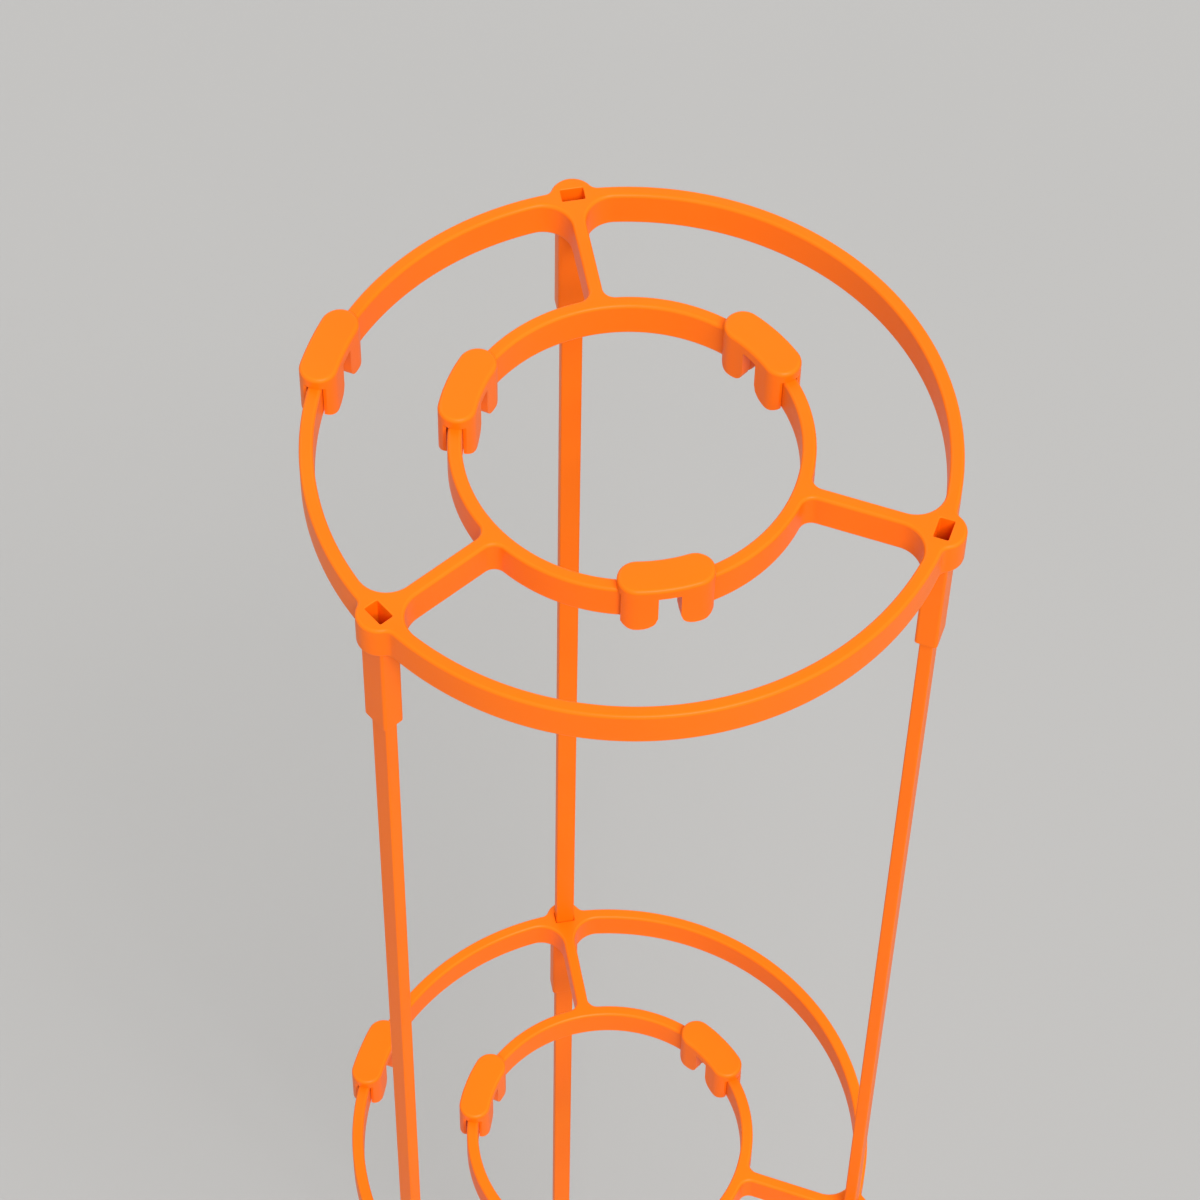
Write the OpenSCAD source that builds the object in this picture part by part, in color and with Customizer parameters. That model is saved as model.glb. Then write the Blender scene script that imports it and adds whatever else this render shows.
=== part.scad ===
// Stackable plant support for a tomato: ring frames carried on three flat poles,
// with push-on clips that close the gaps through which a stem is let in.

/* [Rings] */
// Outer radius of the outer ring
ring_r = 67.5; // [55:0.5:85]
// Outer radius of the inner ring
core_r = 37.5; // [28:0.5:44]
// Radial width of both rings, and width of the spokes
band_w = 3; // [2.4:0.1:4]
// Height of the rings and the spokes
band_h = 9; // [6:0.5:14]
// Clear way between two ends of a ring
ring_gap = 5; // [4.5:0.25:6]

/* [Bosses and sleeves] */
// Radius of the boss round each socket
boss_r = 4.75; // [4.4:0.05:6]
// Fillet between a boss and the outside of the outer ring
boss_fillet = 2; // [1:0.1:3]
// Fillet between the outer ring and a spoke
spoke_fillet = 6.4; // [4.5:0.1:8]
// Fillet between the inner ring and a spoke
core_fillet = 2.7; // [1.5:0.1:4]
// Wall of the sleeve round a pole
sleeve_wall = 0.9; // [0.7:0.1:1.1]
// Rounding of the sleeve's upright edges
sleeve_edge = 0.7; // [0.3:0.1:0.9]
// Top of a ring down to the end of its sleeves
sleeve_len = 37; // [28:0.5:50]
// Depth of the open socket in the top of a boss
socket_depth = 12; // [8:0.5:14]
// Stop between the socket above and the sleeve below
stop_t = 1.6; // [1:0.1:3]

/* [Poles and stakes] */
// Pole size along the radius
pole_t = 3; // [2.4:0.1:3.4]
// Pole size along the ring
pole_w = 4.8; // [4:0.1:5.2]
// Rounding of the poles' long edges
pole_edge = 0.4; // [0.2:0.05:0.6]
// Clearance on each side of a pole in its socket
pole_fit = 0.1; // [0.05:0.01:0.2]
// Top of one ring to the top of the next
tier_pitch = 300; // [200:5:400]
// Length of a ground stake with its point
stake_len = 320; // [220:5:420]
// Length of the stake's point
point_len = 16; // [10:1:24]
// Flat left at the end of the point
tip_w = 1.2; // [0.8:0.1:1.6]

/* [Clips] */
// Length of a clip along its ring
clip_len = 20; // [18:0.5:24]
// Width of a clip across its ring
clip_w = 8.1; // [7:0.1:9]
// Thickness of the plate that lies on the ring
clip_t = 2.8; // [1.6:0.1:3.2]
// Open way between the two pairs of legs
leg_gap = 4.2; // [3.4:0.1:4.4]
// Rounding of the lower corners of a leg
leg_round = 3.4; // [2:0.1:3.6]
// How far a leg reaches below the ring
leg_reach = 1; // [0.2:0.1:1.4]
// Clearance between a leg and the ring
clip_fit = 0.25; // [0.15:0.05:0.35]

/* [Hidden] */
$fn = 72;
// Overrun of every cut
cut = 1;
// Extra radius of an arc that runs into a wall, so that it crosses the wall and doesn't only touch it
blend = 0.02;
// Number of poles, spokes and inner gaps
arms = 3;
arm_step = 360 / arms;
// Middle lines of the two rings
ring_mid = ring_r - band_w / 2;
core_mid = core_r - band_w / 2;
// Sections of a socket and of the sleeve round it
socket_t = pole_t + 2 * pole_fit;
socket_w = pole_w + 2 * pole_fit;
sleeve_t = socket_t + 2 * sleeve_wall;
sleeve_w = socket_w + 2 * sleeve_wall;
// Heights of the ring tops above the ends of the stakes
lower_z = stake_len + stop_t + socket_depth;
top_z = lower_z + tier_pitch;
pole_len = tier_pitch - stop_t;
// Height and length of a clip's leg
leg_h = band_h + leg_reach;
leg_len = (clip_len - leg_gap) / 2;
// Side of the outer ring's only gap, midway between two poles
gap_angle = arm_step * 3 / 2;
plastic = "darkorange";
sides = ["right", "back", "left"];
places = ["back", "left", "front"];

// Angle that a length covers along a circle
function arc_of(length, radius) = length / radius * 180 / PI;

// Point on a circle about the axis
function polar(radius, angle) = [radius * cos(angle), radius * sin(angle)];

// Where a circle about the axis meets one about the first boss
function meet_x(axis_r, boss_circle_r) = (axis_r ^ 2 + ring_mid ^ 2 - boss_circle_r ^ 2) / (2 * ring_mid);
function meet_y(axis_r, boss_circle_r) = sqrt(axis_r ^ 2 - meet_x(axis_r, boss_circle_r) ^ 2);

// Rectangle with round corners, about its middle
module rounded_rect(size_x, size_y, edge) {
    square([size_x - 2 * edge, size_y], center = true);
    square([size_x, size_y - 2 * edge], center = true);
    for (sx = [-1, 1], sy = [-1, 1])
        translate([sx * (size_x / 2 - edge), sy * (size_y / 2 - edge)])
            circle(edge);
}

// Outline of a ring with gaps at the given angles
module band_outline(outer_r, gaps) {
    difference() {
        circle(outer_r);
        circle(outer_r - band_w);
        for (angle = gaps)
            rotate(angle)
                translate([outer_r - band_w - cut, -ring_gap / 2])
                    square([band_w + 2 * cut, ring_gap]);
    }
}

// Corner between two walls, hollowed out by a fillet about its last point
module fillet_corner(points, radius) {
    difference() {
        polygon(points);
        translate(points[len(points) - 1])
            circle(radius + blend);
    }
}

// Fillets on one side of a spoke: at the outer ring, at the inner ring and outside the boss
module spoke_fillets() {
    spoke_y = band_w / 2 + spoke_fillet;
    spoke_x = sqrt((ring_r - band_w - spoke_fillet) ^ 2 - spoke_y ^ 2);
    fillet_corner([[spoke_x, 0], [ring_mid, 0], polar(ring_mid, atan2(spoke_y, spoke_x)),
        [spoke_x, spoke_y]], spoke_fillet);

    core_y = band_w / 2 + core_fillet;
    core_x = sqrt((core_r + core_fillet) ^ 2 - core_y ^ 2);
    fillet_corner([polar(core_mid, atan2(core_y, core_x)), [core_mid, 0], [core_x, 0],
        [core_x, core_y]], core_fillet);

    boss_x = meet_x(ring_r + boss_fillet, boss_r + boss_fillet);
    boss_y = meet_y(ring_r + boss_fillet, boss_r + boss_fillet);
    fillet_corner([polar(ring_mid, atan2(boss_y, boss_x)), [ring_mid, 0],
        [boss_x, boss_y]], boss_fillet);
}

// Outline of one spoke with its boss and fillets
module arm_outline() {
    translate([core_mid, -band_w / 2])
        square([ring_mid - core_mid, band_w]);
    translate([ring_mid, 0])
        circle(boss_r);
    spoke_fillets();
    mirror([0, 1])
        spoke_fillets();
}

// Upright bar with round edges, standing on z = 0 at the pole circle
module upright(size_t, size_w, edge, height) {
    translate([ring_mid, 0, 0])
        linear_extrude(height)
            rounded_rect(size_t, size_w, edge);
}

// Socket from above and sleeve bore from below, parted by the stop
module sockets() {
    translate([ring_mid - socket_t / 2, -socket_w / 2, -socket_depth])
        cube([socket_t, socket_w, socket_depth + cut]);
    translate([ring_mid - socket_t / 2, -socket_w / 2, -sleeve_len - cut])
        cube([socket_t, socket_w, sleeve_len + cut - socket_depth - stop_t]);
}

// Ring frame, its top at z = 0
module ring_frame() {
    difference() {
        union() {
            translate([0, 0, -band_h])
                linear_extrude(band_h) {
                    band_outline(ring_r, [gap_angle]);
                    band_outline(core_r, [for (k = [0 : arms - 1]) (k + 1 / 2) * arm_step]);
                    for (k = [0 : arms - 1])
                        rotate(k * arm_step)
                            arm_outline();
                }
            for (k = [0 : arms - 1])
                rotate(k * arm_step)
                    translate([0, 0, -sleeve_len])
                        upright(sleeve_t, sleeve_w, sleeve_edge, sleeve_len - band_h / 2);
        }
        for (k = [0 : arms - 1])
            rotate(k * arm_step)
                sockets();
    }
}

module top_ring() {
    color(plastic)
        translate([0, 0, top_z])
            ring_frame();
}

module lower_ring() {
    color(plastic)
        translate([0, 0, lower_z])
            ring_frame();
}

// Pole between the two ring frames
module upper_pole(k) {
    color(plastic)
        rotate(k * arm_step)
            translate([0, 0, lower_z - socket_depth])
                upright(pole_t, pole_w, pole_edge, pole_len);
}

// Outline of a bar that tapers to a blunt point at the origin
module pointed_side(size) {
    polygon([[-tip_w / 2, 0], [tip_w / 2, 0], [size / 2, point_len],
        [size / 2, stake_len], [-size / 2, stake_len], [-size / 2, point_len]]);
}

// Stake under the lower ring, with a point that goes into the soil
module ground_stake(k) {
    color(plastic)
        rotate(k * arm_step)
            intersection() {
                upright(pole_t, pole_w, pole_edge, stake_len);
                translate([ring_mid, pole_w, 0])
                    rotate([90, 0, 0])
                        linear_extrude(2 * pole_w)
                            pointed_side(pole_t);
                translate([ring_mid - pole_t, 0, 0])
                    rotate([90, 0, 90])
                        linear_extrude(2 * pole_t)
                            pointed_side(pole_w);
            }
}

// Outline of a clip from above: a piece of arc with round ends
module clip_outline(mid_r) {
    half = arc_of(clip_len - clip_w, mid_r) / 2;
    far = mid_r + clip_w;
    intersection() {
        difference() {
            circle(mid_r + clip_w / 2);
            circle(mid_r - clip_w / 2);
        }
        polygon([[0, 0], polar(far, -half), polar(far, half)]);
    }
    for (end = [-1, 1])
        rotate(end * half)
            translate([mid_r, 0])
                circle(clip_w / 2 + blend);
}

// Outline of one leg along the ring, its foot rounded and its top inside the plate
module leg_side() {
    leg_top = leg_h + clip_t / 2;
    translate([-leg_len / 2, leg_round])
        square([leg_len, leg_top - leg_round]);
    translate([leg_round - leg_len / 2, 0])
        square([leg_len - 2 * leg_round, leg_top]);
    for (side = [-1, 1])
        translate([side * (leg_len / 2 - leg_round), leg_round])
            circle(leg_round);
}

// Two leg outlines side by side, drawn out across the ring
module clip_legs(mid_r) {
    for (side = [-1, 1])
        rotate(side * arc_of((leg_gap + leg_len) / 2, mid_r))
            translate([mid_r - clip_w, 0, -leg_h])
                rotate([90, 0, 90])
                    linear_extrude(2 * clip_w)
                        leg_side();
}

// Clip over a gap of a ring whose top is at z = 0, its legs on both sides of the ring
module clip(mid_r) {
    difference() {
        intersection() {
            translate([0, 0, -leg_h - cut])
                linear_extrude(leg_h + cut + clip_t)
                    clip_outline(mid_r);
            union() {
                cylinder(r = mid_r + clip_w, h = clip_t + cut);
                clip_legs(mid_r);
            }
        }
        translate([0, 0, -leg_h - cut])
            linear_extrude(leg_h + cut)
                difference() {
                    circle(mid_r + band_w / 2 + clip_fit);
                    circle(mid_r - band_w / 2 - clip_fit);
                }
    }
}

module inner_clip(k, ring_z) {
    color(plastic)
        translate([0, 0, ring_z])
            rotate((k + 1 / 2) * arm_step)
                clip(core_mid);
}

module outer_clip(ring_z) {
    color(plastic)
        translate([0, 0, ring_z])
            rotate(gap_angle)
                clip(ring_mid);
}

top_ring();
lower_ring();
for (k = [0 : arms - 1]) {
    upper_pole(k);
    ground_stake(k);
    inner_clip(k, top_z);
    inner_clip(k, lower_z);
}
outer_clip(top_z);  // top_outer_clip
outer_clip(lower_z);  // lower_outer_clip
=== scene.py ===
"""Tomato cage: soft-edged meshes of its pieces, their satin plastic and a plain studio."""

import logging
import math
from abc import ABC, abstractmethod
from dataclasses import dataclass
from enum import Enum
from functools import cache
from typing import Any, Callable, Iterable, Sequence

import bmesh
import bpy
from mathutils import Matrix, Vector
from mathutils.geometry import tessellate_polygon


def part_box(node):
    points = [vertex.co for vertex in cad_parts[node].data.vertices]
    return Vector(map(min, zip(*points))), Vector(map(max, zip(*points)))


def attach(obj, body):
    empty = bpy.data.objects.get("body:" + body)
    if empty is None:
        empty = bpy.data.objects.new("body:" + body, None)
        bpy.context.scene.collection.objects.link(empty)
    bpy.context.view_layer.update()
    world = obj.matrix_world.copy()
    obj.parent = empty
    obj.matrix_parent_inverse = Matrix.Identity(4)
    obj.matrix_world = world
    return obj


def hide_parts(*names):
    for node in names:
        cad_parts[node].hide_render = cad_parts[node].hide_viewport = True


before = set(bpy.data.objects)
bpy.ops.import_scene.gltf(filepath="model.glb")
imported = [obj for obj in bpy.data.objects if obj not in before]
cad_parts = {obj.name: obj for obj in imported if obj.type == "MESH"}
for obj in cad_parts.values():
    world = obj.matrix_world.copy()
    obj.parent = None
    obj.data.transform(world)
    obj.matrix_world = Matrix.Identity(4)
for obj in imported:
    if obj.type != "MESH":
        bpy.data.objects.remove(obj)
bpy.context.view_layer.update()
LOG = logging.getLogger("tomato_cage")

# Pieces are drawn in millimetres, and their meshes are in metres
MM = 0.001
# Farthest that a chord may lie from the arc that it stands for
CHORD_ERROR = 0.004
# Steps round a rounded rim or corner
RIM_STEPS = 4
# Turn in radians from which a corner or an edge counts as sharp
SHARP_TURN = math.radians(40)
QUARTER_TURN = math.pi / 2
EDGE_ATTRIBUTE = "edge"

Loop = list[bmesh.types.BMVert]
Colour = tuple[float, float, float, float]
# What a node's socket takes: a value to link, a number, a colour or a vector
Input = Any


class Tier(Enum):
    """The two ring frames, by the first word of their nodes."""

    TOP = "top"
    LOWER = "lower"

    @property
    def body(self) -> str:
        """Body that carries this tier's ring frame."""
        return "upper_stage" if self is Tier.TOP else "base_stage"

    @property
    @cache
    def height(self) -> float:
        """Height of the ring's top face in millimetres, looked up once."""
        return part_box(f"{self.value}_ring")[1].z / MM


class Side(Enum):
    """The three poles, by the angle of their spokes in degrees."""

    RIGHT = 0
    BACK = 120
    LEFT = 240

    @property
    def turn(self) -> float:
        """Angle of the spoke in radians."""
        return math.radians(self.value)


class Place(Enum):
    """The three gaps of an inner ring, by their angle in degrees. An outer ring has the left one only."""

    BACK = 60
    LEFT = 180
    FRONT = 300

    @property
    def turn(self) -> float:
        """Angle of the gap in radians."""
        return math.radians(self.value)


class Layers(Enum):
    """Direction in which the plastic was laid down, layer upon layer."""

    UPRIGHT = "upright"
    RADIAL = "radial"


class Value:
    """A shader socket that takes part in Python arithmetic."""

    def __init__(self, shader: "Shader", socket: bpy.types.NodeSocket) -> None:
        """Keeps the socket and the shader that it belongs to."""
        self.shader = shader
        self.socket = socket

    def _math(self, operation: str, *terms: Input) -> "Value":
        """Result of a Math node on the given terms."""
        return self.shader.add("ShaderNodeMath", {"operation": operation}, dict(enumerate(terms)))

    def __add__(self, other: Input) -> "Value":
        """Sum of the two."""
        return self._math("ADD", self, other)

    def __sub__(self, other: Input) -> "Value":
        """This less the other."""
        return self._math("SUBTRACT", self, other)

    def __rsub__(self, other: Input) -> "Value":
        """The other less this."""
        return self._math("SUBTRACT", other, self)

    def __mul__(self, other: Input) -> "Value":
        """Product of the two."""
        return self._math("MULTIPLY", self, other)

    __radd__ = __add__
    __rmul__ = __mul__

    def sine(self) -> "Value":
        """Sine of this, in radians."""
        return self._math("SINE", self)


class Shader:
    """A material's nodes, added one by one."""

    def __init__(self, name: str) -> None:
        """Starts a material with no nodes.

        Args:
            name: The material's name.
        """
        self.material = bpy.data.materials.new(name)
        self.material.use_nodes = True
        self.tree = self.material.node_tree
        self.tree.nodes.clear()

    def add(self, kind: str, settings: dict[str, Any] | None = None,
            inputs: dict[str | int, Input] | None = None, output: str | int = 0) -> Value:
        """Adds any node.

        Args:
            kind: The node's type.
            settings: Its properties, set first.
            inputs: Values or links for its sockets.
            output: The socket to return.

        Returns:
            The chosen output, or the first input of a node that has no outputs.
        """
        node = self.tree.nodes.new(kind)
        for name, setting in (settings or {}).items():
            setattr(node, name, setting)
        for name, given in (inputs or {}).items():
            if isinstance(given, Value):
                self.tree.links.new(given.socket, node.inputs[name])
            else:
                node.inputs[name].default_value = given
        return Value(self, node.outputs[output] if len(node.outputs) else node.inputs[0])

    def mix(self, share: Input, first: Input, second: Input) -> Value:
        """Blend of two colours, by the share of the second."""
        return self.add("ShaderNodeMix", {"data_type": "RGBA"}, {0: share, 6: first, 7: second}, 2)

    def noise(self, place: Value, scale: float, detail: float) -> Value:
        """Noise of about the given number of spots to a metre."""
        return self.add("ShaderNodeTexNoise", {}, {"Vector": place, "Scale": scale, "Detail": detail})

    def close(self, surface: Value) -> bpy.types.Material:
        """Links the surface to the output and returns the material."""
        self.add("ShaderNodeOutputMaterial", {}, {"Surface": surface})
        return self.material


def plain(red: float, green: float, blue: float) -> Colour:
    """An opaque linear colour."""
    return red, green, blue, 1.0


@dataclass(frozen=True)
class SatinPlastic:
    """Orange plastic with a satin skin and faint layer lines. Its rounded edges are painted a little
    brighter, partly as wear and partly as a painted highlight.

    Heights and depths are in metres, and noise scales are in spots to a metre.
    """

    slot: str
    layers: Layers
    deep: Colour = plain(0.97, 0.154, 0.001)
    fresh: Colour = plain(1.0, 0.186, 0.003)
    # Lighter orange on the rounded edges, partly wear and partly a painted highlight along the edge lines
    highlight_and_wear: Colour = plain(1.0, 0.240, 0.022)
    highlight_and_wear_share: float = 0.3
    highlight_and_wear_least: float = 0.5
    highlight_and_wear_spread: float = 0.6
    roughness: float = 0.40
    roughness_spread: float = 0.10
    edge_polish: float = 0.06
    specular: float = 0.11
    cloud_scale: float = 38.0
    cloud_detail: float = 2.0
    grain_scale: float = 1900.0
    grain_detail: float = 1.0
    layer_height: float = 0.00028
    layer_share: float = 0.3
    bump_strength: float = 0.25
    bump_depth: float = 0.00004

    def layer_place(self, shader: Shader, place: Value) -> Value:
        """Distance across the layers.

        Args:
            shader: The material in the making.
            place: Place on the object, in metres.

        Returns:
            Height, or distance from the cage's axis.
        """
        if self.layers is Layers.UPRIGHT:
            return shader.add("ShaderNodeSeparateXYZ", {}, {0: place}, "Z")
        flat = shader.add("ShaderNodeVectorMath", {"operation": "MULTIPLY"}, {0: place, 1: (1, 1, 0)})
        return shader.add("ShaderNodeVectorMath", {"operation": "LENGTH"}, {0: flat}, "Value")

    @cache
    def material(self) -> bpy.types.Material:
        """Makes the material once.

        Returns:
            The finished material.
        """
        shader = Shader(f"satin_{self.slot}")
        place = shader.add("ShaderNodeTexCoord", output="Object")
        edge = shader.add("ShaderNodeAttribute", {"attribute_name": EDGE_ATTRIBUTE}, output="Fac")
        cloud = shader.noise(place, self.cloud_scale, self.cloud_detail)
        grain = shader.noise(place, self.grain_scale, self.grain_detail)
        lines = (self.layer_place(shader, place) * (math.tau / self.layer_height)).sine()
        # Painted edge highlight, partly wear: lightens the rounded edges, unevenly by the cloud noise
        highlight_and_wear_mask = edge * (cloud * self.highlight_and_wear_spread + self.highlight_and_wear_least) * self.highlight_and_wear_share
        colour = shader.mix(highlight_and_wear_mask, shader.mix(cloud, self.deep, self.fresh), self.highlight_and_wear)
        uneven = (cloud + grain - 1) * self.roughness_spread
        bump = shader.add("ShaderNodeBump", {}, {
            "Strength": self.bump_strength, "Distance": self.bump_depth,
            "Height": grain + lines * self.layer_share})
        return shader.close(shader.add("ShaderNodeBsdfPrincipled", {}, {
            "Base Color": colour, "Roughness": uneven + self.roughness - edge * self.edge_polish,
            "Normal": bump, "Specular IOR Level": self.specular}))


@dataclass(frozen=True)
class StudioFloor:
    """Pale matt floor with a very faint unevenness."""

    name: str = "studio_floor"
    light: Colour = plain(0.402, 0.399, 0.394)
    shade: Colour = plain(0.384, 0.381, 0.376)
    cloud_scale: float = 3.0
    cloud_detail: float = 3.0
    roughness: float = 0.9
    specular: float = 0.2

    def material(self) -> bpy.types.Material:
        """Makes the material.

        Returns:
            The finished material.
        """
        shader = Shader(self.name)
        place = shader.add("ShaderNodeTexCoord", output="Object")
        cloud = shader.noise(place, self.cloud_scale, self.cloud_detail)
        return shader.close(shader.add("ShaderNodeBsdfPrincipled", {}, {
            "Base Color": shader.mix(cloud, self.light, self.shade),
            "Roughness": self.roughness, "Specular IOR Level": self.specular}))


def polar(radius: float, turn: float) -> Vector:
    """Point of the plan at a radius and an angle in radians."""
    return Vector((radius * math.cos(turn), radius * math.sin(turn)))


class Outline:
    """A closed outline of the plan, walked with the material on its left hand."""

    def __init__(self, points: Iterable[Vector] = ()) -> None:
        """Starts with the given points."""
        self.points = list(points)

    @classmethod
    def block(cls, size_x: float, size_y: float, corner: float) -> "Outline":
        """Rectangle about the origin with round corners, walked round a solid."""
        x, y = size_x / 2, size_y / 2
        return cls(map(Vector, [(-x, -y), (x, -y), (x, y), (-x, y)])).softened(corner)

    def to(self, *points: Vector) -> None:
        """Walks on, leaving out a point that is reached already.

        Args:
            points: The points to walk to, one after another.
        """
        for point in points:
            if not self.points or (point - self.points[-1]).length > CHORD_ERROR:
                self.points.append(point)

    def arc(self, centre: Vector, radius: float, start: float, stop: float) -> None:
        """Walks along an arc.

        Args:
            centre: The arc's centre.
            radius: Its radius.
            start: Angle in radians at which it starts.
            stop: Angle at which it ends, a smaller one for a clockwise arc.
        """
        widest = 2 * math.acos(1 - CHORD_ERROR / radius)
        steps = max(2, math.ceil(abs(stop - start) / widest))
        for step in range(steps + 1):
            self.to(centre + polar(radius, start + (stop - start) * step / steps))

    def softened(self, radius: float) -> "Outline":
        """Copy with its sharp corners rounded.

        Args:
            radius: Radius of the rounded corners.

        Returns:
            The new outline.
        """
        soft = Outline()
        for before, corner, after in self._triples():
            way_in, way_out = (corner - before).normalized(), (after - corner).normalized()
            turn = way_in.angle_signed(way_out)
            if abs(turn) < SHARP_TURN:
                soft.to(corner)
                continue
            start = corner - way_in * (radius * math.tan(abs(turn) / 2))
            centre = start - way_in.orthogonal() * math.copysign(radius, turn)
            for step in range(RIM_STEPS + 1):
                soft.to(centre + Matrix.Rotation(-turn * step / RIM_STEPS, 2) @ (start - centre))
        return soft

    def moved(self, radius: float, turn: float) -> "Outline":
        """Copy shifted out along X and then turned about the axis."""
        spin = Matrix.Rotation(turn, 2)
        return Outline(spin @ (point + Vector((radius, 0))) for point in self.points)

    def hole(self) -> "Outline":
        """Copy walked the other way, as the edge of a hole."""
        return Outline(reversed(self.points))

    def inset(self, depth: float) -> list[Vector]:
        """Points moved into the material.

        Args:
            depth: How far they move, negative for outwards.

        Returns:
            The moved points, one for each point of the outline.
        """
        moved = []
        for before, point, after in self._triples():
            left_in = (point - before).normalized().orthogonal()
            left_out = (after - point).normalized().orthogonal()
            middle = (left_in + left_out).normalized()
            moved.append(point + middle * (depth / middle.dot(left_in)))
        return moved

    def _triples(self) -> Iterable[tuple[Vector, Vector, Vector]]:
        """Each point with its two neighbours."""
        points = self.points
        return zip(points[-1:] + points[:-1], points, points[1:] + points[:1])


def rim_turns(rim: float) -> list[tuple[float, float]]:
    """Steps round a rim.

    Args:
        rim: The rim's rounding.

    Returns:
        Each step's angle in radians and its mark as an edge.
    """
    if not rim:
        return [(QUARTER_TURN, 0.0)]
    turns = [QUARTER_TURN * step / RIM_STEPS for step in range(RIM_STEPS + 1)]
    return [(turn, float(0 < turn < turns[-1])) for turn in turns]


class Draft:
    """A mesh in the making, drawn in millimetres."""

    def __init__(self) -> None:
        """Starts with nothing drawn."""
        self.mesh = bmesh.new()
        self.edge = self.mesh.verts.layers.float.new(EDGE_ATTRIBUTE)

    def vert(self, x: float, y: float, z: float, edge: float = 0.0) -> bmesh.types.BMVert:
        """Adds a vertex.

        Args:
            x: Place along X.
            y: Place along Y.
            z: Height.
            edge: One on a rounded edge, or else zero.

        Returns:
            The new vertex.
        """
        vert = self.mesh.verts.new((x, y, z))
        vert[self.edge] = edge
        return vert

    def loop(self, points: Iterable[Vector], height: float, edge: float = 0.0) -> Loop:
        """Adds the vertices of one level outline."""
        return [self.vert(point.x, point.y, height, edge) for point in points]

    def loft(self, loops: Sequence[Loop]) -> None:
        """Joins closed loops with walls.

        Args:
            loops: Loops of like count, from the lowest up.
        """
        for low, high in zip(loops, loops[1:]):
            for corners in zip(low, low[1:] + low[:1], high[1:] + high[:1], high):
                self.mesh.faces.new(corners)

    def wall(self, outline: Outline, low: float, high: float,
             low_rim: float, high_rim: float) -> tuple[Loop, Loop]:
        """Adds an upright wall along an outline.

        Args:
            outline: The wall's outline.
            low: Height of its foot.
            high: Height of its head.
            low_rim: Rounding at the foot, or zero.
            high_rim: Rounding at the head, negative for one that flares out.

        Returns:
            The lowest and the highest loop.
        """
        loops = []
        for turn, edge in rim_turns(low_rim):
            loops.append(self.loop(outline.inset(low_rim * (1 - math.sin(turn))),
                                   low + abs(low_rim) * (1 - math.cos(turn)), edge))
        for turn, edge in rim_turns(high_rim):
            flat = QUARTER_TURN - turn
            loops.append(self.loop(outline.inset(high_rim * (1 - math.sin(flat))),
                                   high - abs(high_rim) * (1 - math.cos(flat)), edge))
        self.loft(loops)
        return loops[0], loops[-1]

    def strips(self, rows: Sequence[Loop]) -> None:
        """Joins open rows with strips of faces.

        Args:
            rows: Rows of like count, one beside the other.
        """
        for low, high in zip(rows, rows[1:]):
            for corners in zip(low, low[1:], high[1:], high):
                self.mesh.faces.new(corners)

    def cap(self, loop: Loop, *holes: Loop) -> None:
        """Closes a level loop with a flat face.

        Args:
            loop: The loop to close.
            holes: Loops inside it that stay open.
        """
        loops = [loop, *holes]
        verts = [vert for each in loops for vert in each]
        for corners in tessellate_polygon([[vert.co for vert in each] for each in loops]):
            self.mesh.faces.new([verts[corner] for corner in corners])

    def placed(self, place: Callable[[Vector], Vector]) -> None:
        """Moves every vertex.

        Args:
            place: Gives the new place of a vertex from its old one.
        """
        for vert in self.mesh.verts:
            vert.co = place(vert.co)
        self.mesh.normal_update()

    def finish(self, name: str) -> bpy.types.Object:
        """Turns the draft into an object.

        Args:
            name: The object's name.

        Returns:
            The smooth-shaded object, linked to the scene.
        """
        bmesh.ops.recalc_face_normals(self.mesh, faces=self.mesh.faces)
        bmesh.ops.scale(self.mesh, vec=(MM, MM, MM), verts=self.mesh.verts)
        data = bpy.data.meshes.new(name)
        self.mesh.to_mesh(data)
        self.mesh.free()
        data.shade_smooth()
        piece = bpy.data.objects.new(name, data)
        bpy.context.scene.collection.objects.link(piece)
        piece.modifiers.new("even_shading", "WEIGHTED_NORMAL")
        return piece


class Piece(ABC):
    """A piece of the cage, which stands for one node and rides on one body."""

    finish: SatinPlastic

    @property
    @abstractmethod
    def node(self) -> str:
        """Node that the piece stands for."""

    @property
    @abstractmethod
    def body(self) -> str:
        """Body that the piece moves with."""

    @abstractmethod
    def draw(self) -> bpy.types.Object:
        """The piece's finished mesh, as an object."""

    def build(self) -> bpy.types.Object:
        """Draws the piece, gives it its finish and puts it in its node's place.

        Returns:
            The dressed piece.
        """
        piece = self.draw()
        piece.data.materials.append(self.finish.material())
        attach(piece, self.body)
        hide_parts(self.node)
        return piece


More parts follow.
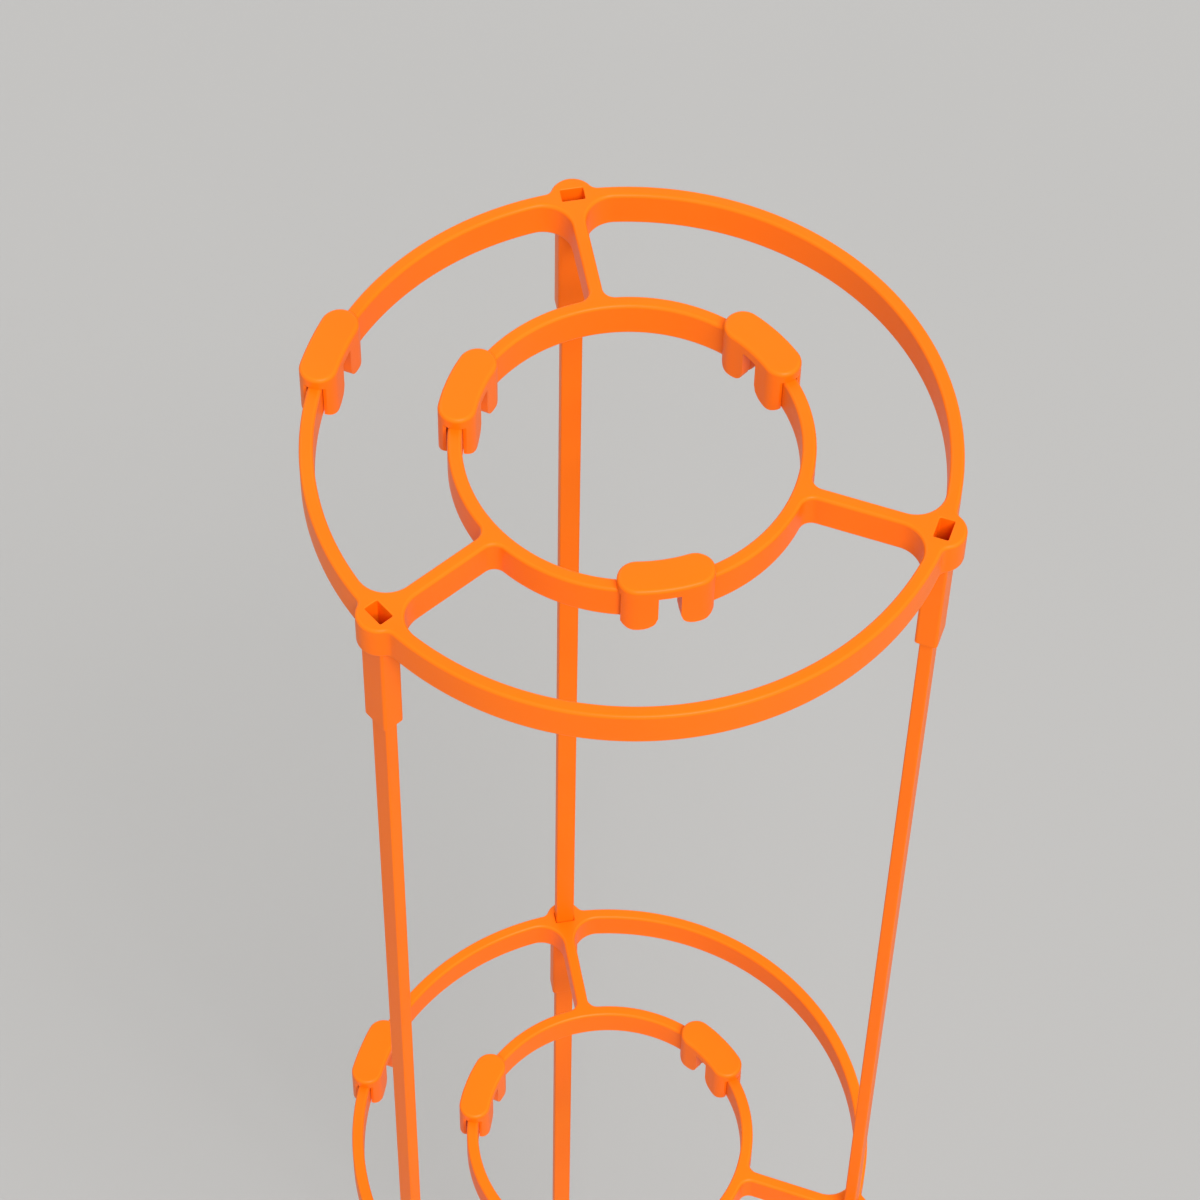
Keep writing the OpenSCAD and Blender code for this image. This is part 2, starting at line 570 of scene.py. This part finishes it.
@dataclass
class RingFrame(Piece):
    """Two rings on one centre with three spokes, and a boss, a socket and a sleeve at each pole."""

    tier: Tier
    ring_r: float = 67.5
    core_r: float = 37.5
    band_w: float = 3.0
    band_h: float = 9.0
    ring_gap: float = 5.0
    boss_r: float = 4.75
    boss_fillet: float = 2.0
    spoke_fillet: float = 6.4
    core_fillet: float = 2.7
    pole_fit: float = 0.1
    socket_depth: float = 12.0
    socket_rim: float = 0.25
    socket_corner: float = 0.3
    sleeve_wall: float = 0.9
    sleeve_edge: float = 0.7
    sleeve_len: float = 37.0
    sleeve_rim: float = 0.25
    stop_t: float = 1.6
    rim: float = 0.8
    end_corner: float = 0.85
    finish: SatinPlastic = SatinPlastic("ring_plastic", Layers.UPRIGHT)

    @property
    def node(self) -> str:
        """Node of this tier's ring frame."""
        return f"{self.tier.value}_ring"

    @property
    def body(self) -> str:
        """Stage that the ring frame holds together."""
        return self.tier.body

    @property
    def ring_mid(self) -> float:
        """Radius of the outer ring's middle line, on which the poles stand."""
        return self.ring_r - self.band_w / 2

    @property
    def core_mid(self) -> float:
        """Radius of the inner ring's middle line."""
        return self.core_r - self.band_w / 2

    @property
    def socket(self) -> tuple[float, float]:
        """Sizes of a socket along the radius and along the ring."""
        return Pole.thick + 2 * self.pole_fit, Pole.wide + 2 * self.pole_fit

    @property
    def boss_turn(self) -> float:
        """Angle from a spoke to the place where the boss's fillet leaves the ring."""
        far, near = self.ring_r + self.boss_fillet, self.boss_r + self.boss_fillet
        return math.acos((far ** 2 + self.ring_mid ** 2 - near ** 2) / (2 * self.ring_mid * far))

    @property
    def bend_turn(self) -> float:
        """Angle from a spoke to the place where its fillet leaves the outer ring."""
        return math.asin((self.band_w / 2 + self.spoke_fillet)
                         / (self.ring_r - self.band_w - self.spoke_fillet))

    def gap_half(self, radius: float) -> float:
        """Angle from the middle of a gap to its end, at a radius."""
        return math.asin(self.ring_gap / 2 / radius)

    def walk_boss(self, walk: Outline, spoke: float) -> None:
        """Walks round the outside of one boss, with the fillets before and after it.

        Args:
            walk: The outline in the making.
            spoke: Angle of the boss's spoke in radians.
        """
        far, turn, back = self.ring_r + self.boss_fillet, self.boss_turn, math.pi
        lean = math.atan2(far * math.sin(turn), far * math.cos(turn) - self.ring_mid)
        walk.arc(polar(far, spoke - turn), self.boss_fillet, spoke - turn + back, spoke - lean + back)
        walk.arc(polar(self.ring_mid, spoke), self.boss_r, spoke - lean, spoke + lean)
        walk.arc(polar(far, spoke + turn), self.boss_fillet, spoke + lean + back, spoke + turn + back)

    def walk_spoke(self, walk: Outline, spoke: float) -> None:
        """Walks in along one side of a spoke, round its part of the inner ring and out again.

        Args:
            walk: The outline in the making.
            spoke: Angle of the spoke in radians.
        """
        axis, square, gap = Vector((0, 0)), QUARTER_TURN, math.pi / len(Side)
        bend, bend_r = self.bend_turn, self.ring_r - self.band_w - self.spoke_fillet
        core_r = self.core_r + self.core_fillet
        core = math.asin((self.band_w / 2 + self.core_fillet) / core_r)
        inside = self.core_r - self.band_w
        outer_half, inner_half = self.gap_half(self.core_r), self.gap_half(inside)
        walk.arc(polar(bend_r, spoke + bend), self.spoke_fillet, spoke + bend, spoke - square)
        walk.arc(polar(core_r, spoke + core), self.core_fillet, spoke - square, spoke + core - math.pi)
        walk.arc(axis, self.core_r, spoke + core, spoke + gap - outer_half)
        walk.arc(axis, inside, spoke + gap - inner_half, spoke - gap + inner_half)
        walk.arc(axis, self.core_r, spoke - gap + outer_half, spoke - core)
        walk.arc(polar(core_r, spoke - core), self.core_fillet, spoke - core + math.pi, spoke + square)
        walk.arc(polar(bend_r, spoke - bend), self.spoke_fillet, spoke + square, spoke - bend)

    def plan(self) -> Outline:
        """Outline of the whole frame from above.

        Returns:
            One closed outline, with softened corners at the gaps.
        """
        axis, inside = Vector((0, 0)), self.ring_r - self.band_w
        spokes = sorted(math.remainder(side.turn, math.tau) for side in Side)
        walk = Outline()
        reached = self.gap_half(self.ring_r) - math.pi
        for spoke in spokes:
            walk.arc(axis, self.ring_r, reached, spoke - self.boss_turn)
            self.walk_boss(walk, spoke)
            reached = spoke + self.boss_turn
        walk.arc(axis, self.ring_r, reached, math.pi - self.gap_half(self.ring_r))
        reached = math.pi - self.gap_half(inside)
        for spoke in reversed(spokes):
            walk.arc(axis, inside, reached, spoke + self.bend_turn)
            self.walk_spoke(walk, spoke)
            reached = spoke - self.bend_turn
        walk.arc(axis, inside, reached, self.gap_half(inside) - math.pi)
        return walk.softened(self.end_corner)

    def draw(self) -> bpy.types.Object:
        """Draws the frame with its sockets and sleeves.

        Returns:
            The finished mesh.
        """
        draft = Draft()
        bottom, top = draft.wall(self.plan(), -self.band_h, 0, self.rim, self.rim)
        socket = Outline.block(*self.socket, self.socket_corner).hole()
        sleeve = Outline.block(*(size + 2 * self.sleeve_wall for size in self.socket), self.sleeve_edge)
        mouths, roots = [], []
        for side in Side:
            bore = socket.moved(self.ring_mid, side.turn)
            floor, mouth = draft.wall(bore, -self.socket_depth, 0, 0, self.socket_rim)
            draft.cap(floor)
            mouths.append(mouth)
            foot, root = draft.wall(sleeve.moved(self.ring_mid, side.turn), -self.sleeve_len,
                                    -self.band_h, self.sleeve_rim, -self.sleeve_rim)
            roots.append(root)
            lip, ceiling = draft.wall(bore, -self.sleeve_len, -self.socket_depth - self.stop_t,
                                      self.sleeve_rim, 0)
            draft.cap(foot, lip)
            draft.cap(ceiling)
        draft.cap(top, *mouths)
        draft.cap(bottom, *roots)
        lift = Vector((0, 0, self.tier.height))
        draft.placed(lambda place: place + lift)
        return draft.finish(f"{self.node}_frame")


@dataclass
class Pole(Piece):
    """Flat bar with round edges in a ring's sleeve, with a point below if it goes into the ground."""

    ring: RingFrame
    side: Side
    thick: float = 3.0
    wide: float = 4.8
    corner: float = 0.4
    end_rim: float = 0.3
    point_len: float = 16.0
    tip: float = 1.2
    tip_rim: float = 0.3
    finish: SatinPlastic = SatinPlastic("pole_plastic", Layers.RADIAL)

    @property
    def pointed(self) -> bool:
        """Whether the pole is a ground stake, as under the lower ring."""
        return self.ring.tier is Tier.LOWER

    @property
    def node(self) -> str:
        """Node of this pole or stake."""
        kind = "ground_stake" if self.pointed else "upper_pole"
        return f"{kind}_{self.side.name.lower()}"

    @property
    def body(self) -> str:
        """Stage of the ring that the pole carries."""
        return self.ring.body

    def section(self, share: float) -> Outline:
        """Outline of the bar at a place along its point.

        Args:
            share: Share of the point's length, from zero at the tip to one at the full section.

        Returns:
            The outline in the pole's place.
        """
        thick = self.tip + (self.thick - self.tip) * share
        wide = self.tip + (self.wide - self.tip) * share
        return Outline.block(thick, wide, self.corner).moved(self.ring.ring_mid, self.side.turn)

    def draw(self) -> bpy.types.Object:
        """Draws the bar over its node's height.

        Returns:
            The finished mesh.
        """
        low, high = (corner.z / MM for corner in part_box(self.node))
        draft = Draft()
        if self.pointed:
            foot, neck = draft.wall(self.section(0), low, low + 2 * self.tip_rim, self.tip_rim, 0)
            shoulder, head = draft.wall(self.section(1), low + self.point_len, high, 0, self.end_rim)
            draft.loft([neck, shoulder])
        else:
            foot, head = draft.wall(self.section(1), low, high, self.end_rim, self.end_rim)
        draft.cap(foot)
        draft.cap(head)
        return draft.finish(f"{self.node}_bar")


@dataclass
class Clip(Piece):
    """Plate with round ends over a gap of a ring, on two pairs of legs that straddle the ring."""

    ring: RingFrame
    place: Place
    outer: bool = False
    length: float = 20.0
    width: float = 8.1
    plate: float = 2.8
    leg_gap: float = 4.2
    leg_round: float = 3.4
    leg_reach: float = 1.0
    leg_nose: float = 0.7
    leg_rim: float = 0.3
    fit: float = 0.25
    top_rim: float = 0.9
    columns: int = 6
    bevel_steps: int = 2
    bevel_profile: float = 0.5
    finish: SatinPlastic = SatinPlastic("clip_plastic", Layers.UPRIGHT)

    @property
    def node(self) -> str:
        """Node of this clip."""
        kind = "outer_clip" if self.outer else f"inner_clip_{self.place.name.lower()}"
        return f"{self.ring.tier.value}_{kind}"

    @property
    def body(self) -> str:
        """The clip's own body, which has its node's name."""
        return self.node

    @property
    def mid_r(self) -> float:
        """Radius of the middle line of the ring that the clip sits on."""
        return self.ring.ring_mid if self.outer else self.ring.core_mid

    @property
    def half_way(self) -> float:
        """Distance from the middle to the centre of a round end."""
        return (self.length - self.width) / 2

    @property
    def slot_half(self) -> float:
        """Half the slot between the inner and the outer legs."""
        return self.ring.band_w / 2 + self.fit

    def leg_low(self, along: float) -> float:
        """Height of a leg's foot, with the ring's top at zero.

        Args:
            along: Distance from the clip's middle.

        Returns:
            The height there.
        """
        deep = self.ring.band_h + self.leg_reach
        leg_start, leg_stop = self.leg_gap / 2, self.length / 2
        near = max(leg_start + self.leg_round - along, along - leg_stop + self.leg_round, 0)
        return self.leg_round - deep - math.sqrt(max(self.leg_round ** 2 - near ** 2, 0))

    def rim_columns(self) -> tuple[list[tuple[float, float]], int]:
        """Places round a quarter of the plate's edge.

        Returns:
            Each place along the clip with the direction of its rim in radians, and the number
            of the last place that has a leg below it. The leg starts at place number one.
        """
        square, half = QUARTER_TURN, self.width / 2
        nose = math.asin((self.slot_half + self.leg_nose) / half)
        edge = math.asin(self.slot_half / half)
        # The first step of the foot's rounding is too narrow for a place of its own
        rise = [square * step / self.columns for step in range(2, self.columns + 1)]
        foot = [self.leg_gap / 2 + self.leg_round * (1 - math.cos(turn)) for turn in rise]
        straight = [0.0, self.leg_gap / 2, *(along for along in foot if along < self.half_way),
                    self.half_way]
        bends = [square - (square - nose) * step / self.columns for step in range(1, self.columns + 1)]
        tip = [(nose + edge) / 2] + [edge * (1 - step / RIM_STEPS) for step in range(RIM_STEPS + 1)]
        places = [(along, square) for along in straight]
        places += [(self.half_way, turn) for turn in bends + tip]
        return places, len(straight) + len(bends) - 1

    def draw_quarter(self, draft: Draft) -> None:
        """Draws the quarter of the clip that has positive places along and across.

        Args:
            draft: The mesh in the making.
        """
        places, last = self.rim_columns()

        def rim(depth: float, height: float, edge: float = 0.0) -> Loop:
            """Row of vertices along the plate's edge, moved in by a depth."""
            reach = self.width / 2 - depth
            return [draft.vert(along + reach * math.cos(turn), reach * math.sin(turn), height, edge)
                    for along, turn in places]

        rows = [rim(0, 0)]
        for turn, edge in rim_turns(self.top_rim):
            flat = QUARTER_TURN - turn
            rows.append(rim(self.top_rim * (1 - math.sin(flat)),
                            self.plate - self.top_rim * (1 - math.cos(flat)), edge))
        under, slot = rows[0], self.slot_half
        belly = [draft.vert(vert.co.x, 0, 0) for vert in under]
        ledge = [draft.vert(vert.co.x, min(slot, vert.co.y), 0) for vert in under]
        legs, heads = under[1:last + 1], ledge[1:last + 1]
        feet = [draft.vert(vert.co.x, vert.co.y, self.leg_low(vert.co.x)) for vert in legs]
        slot_feet = [draft.vert(vert.co.x, slot, vert.co.z) for vert in feet]
        draft.strips([*rows, [draft.vert(along, 0, self.plate) for along, _ in places]])
        draft.strips([belly, ledge])
        draft.strips([ledge[:2], under[:2]])
        draft.strips([ledge[last:], under[last:]])
        draft.strips([legs, feet, slot_feet, heads])
        for end in (0, -1):
            draft.mesh.faces.new((legs[end], feet[end], slot_feet[end], heads[end]))

    def round_legs(self, draft: Draft) -> None:
        """Rounds the clip's sharp edges and marks them.

        Args:
            draft: The mesh of the whole clip, still straight.
        """
        mesh = draft.mesh
        bmesh.ops.recalc_face_normals(mesh, faces=mesh.faces)
        sharp = [edge for edge in mesh.edges
                 if edge.is_convex and edge.calc_face_angle(0) > SHARP_TURN]
        rounded = bmesh.ops.bevel(
            mesh, geom=sharp, offset=self.leg_rim, offset_type="OFFSET", segments=self.bevel_steps,
            profile=self.bevel_profile, affect="EDGES", clamp_overlap=True)
        soft = set(rounded["faces"])
        for vert in rounded["verts"]:
            vert[draft.edge] = float(all(face in soft for face in vert.link_faces))
        bmesh.ops.dissolve_degenerate(mesh, dist=CHORD_ERROR, edges=mesh.edges)

    def curved(self, place: Vector) -> Vector:
        """Bends the straight clip round its ring.

        Args:
            place: Place along, across and above the straight clip.

        Returns:
            Place on the ring.
        """
        along = max(-self.half_way, min(place.x, self.half_way))
        turn = self.place.turn + along / self.mid_r
        out, on = polar(1, turn), polar(1, turn + QUARTER_TURN)
        flat = out * (self.mid_r + place.y) + on * (place.x - along)
        return Vector((flat.x, flat.y, self.ring.tier.height + place.z))

    def draw(self) -> bpy.types.Object:
        """Draws the clip straight, rounds its legs and bends it round its ring.

        Returns:
            The finished mesh.
        """
        draft = Draft()
        self.draw_quarter(draft)
        mesh = draft.mesh
        for mirror in ((-1, 1, 1), (1, -1, 1)):
            copy = bmesh.ops.duplicate(mesh, geom=mesh.verts[:] + mesh.edges[:] + mesh.faces[:])["geom"]
            verts = [item for item in copy if isinstance(item, bmesh.types.BMVert)]
            bmesh.ops.scale(mesh, vec=mirror, verts=verts)
            bmesh.ops.remove_doubles(mesh, verts=mesh.verts, dist=CHORD_ERROR)
        self.round_legs(draft)
        draft.placed(self.curved)
        return draft.finish(f"{self.node}_cover")


@dataclass(frozen=True)
class Lamp:
    """A soft light, so far off that it is even all over. Its angles are in degrees."""

    name: str
    azimuth: float
    elevation: float
    strength: float
    spread: float

    def hang(self) -> None:
        """Adds the light to the scene, turned towards the cage."""
        light = bpy.data.lights.new(self.name, "SUN")
        light.energy = self.strength
        light.angle = math.radians(self.spread)
        lamp = bpy.data.objects.new(self.name, light)
        turn, rise = math.radians(self.azimuth), math.radians(self.elevation)
        towards = Vector((*polar(math.cos(rise), turn), math.sin(rise)))
        lamp.rotation_euler = towards.to_track_quat("Z", "Y").to_euler()
        bpy.context.scene.collection.objects.link(lamp)


@dataclass
class Studio:
    """Pale floor, soft lamps and the camera at the photograph's angle.

    The camera's angles are in degrees. Its distance and aim are in millimetres, and the floor's
    size is in metres.
    """

    lens: float = 124.1
    azimuth: float = 18.2
    elevation: float = 55.1
    roll: float = 1.3
    distance: float = 815.3
    aim_x: float = 7.0
    aim_y: float = -39.7
    floor_size: float = 80.0
    key: Lamp = Lamp("key", azimuth=-50.0, elevation=50.0, strength=3.0, spread=32.0)
    fill: Lamp = Lamp("fill", azimuth=125.0, elevation=35.0, strength=0.7, spread=60.0)
    room_colour: Colour = plain(1.0, 0.985, 0.96)
    room_light: float = 0.55

    def build_floor(self) -> None:
        """Lays the floor under the stakes' points."""
        mesh = bpy.data.meshes.new("floor")
        half = self.floor_size / 2
        corners = [(-half, -half, 0), (half, -half, 0), (half, half, 0), (-half, half, 0)]
        mesh.from_pydata(corners, [], [range(len(corners))])
        mesh.materials.append(StudioFloor().material())
        floor = bpy.data.objects.new("floor", mesh)
        bpy.context.scene.collection.objects.link(floor)

    def build_world(self) -> None:
        """Fills the room with even, pale light."""
        world = bpy.data.worlds.new("room")
        world.use_nodes = True
        back = world.node_tree.nodes["Background"]
        back.inputs["Color"].default_value = self.room_colour
        back.inputs["Strength"].default_value = self.room_light
        bpy.context.scene.world = world

    def build_camera(self) -> None:
        """Sets the camera over the top ring, where the photograph was taken from."""
        data = bpy.data.cameras.new("camera")
        data.lens = self.lens
        camera = bpy.data.objects.new("camera", data)
        azimuth, elevation = math.radians(self.azimuth), math.radians(self.elevation)
        back = Vector((math.sin(azimuth) * math.cos(elevation),
                       -math.cos(azimuth) * math.cos(elevation), math.sin(elevation)))
        right = Vector((math.cos(azimuth), math.sin(azimuth), 0))
        turned = Matrix.Rotation(math.radians(self.roll), 3, back)
        right, up = turned @ right, turned @ back.cross(right)
        aim = Vector((self.aim_x, self.aim_y, Tier.TOP.height))
        basis = Matrix((right, up, back)).transposed().to_4x4()
        camera.matrix_world = Matrix.Translation((aim + back * self.distance) * MM) @ basis
        bpy.context.scene.collection.objects.link(camera)
        bpy.context.scene.camera = camera

    def build(self) -> None:
        """Builds the whole studio."""
        bpy.context.scene.view_settings.view_transform = "Standard"
        self.build_camera()
        self.build_floor()
        self.build_world()
        self.key.hang()
        self.fill.hang()


def cage() -> list[Piece]:
    """Lists the pieces of the cage in building order.

    Returns:
        Each ring frame with its clips, and then the poles and stakes.
    """
    rings = [RingFrame(tier) for tier in Tier]
    pieces: list[Piece] = []
    for ring in rings:
        pieces += [ring, *(Clip(ring, place) for place in Place), Clip(ring, Place.LEFT, outer=True)]
    return pieces + [Pole(ring, side) for side in Side for ring in rings]


def main() -> None:
    """Builds the studio and the cage."""
    logging.basicConfig(level=logging.INFO, format="%(name)s: %(message)s")
    Studio().build()
    LOG.info("studio is ready")
    for piece in cage():
        LOG.info("%s rides on %s", piece.build().name, piece.body)


if __name__ == "__main__":
    main()
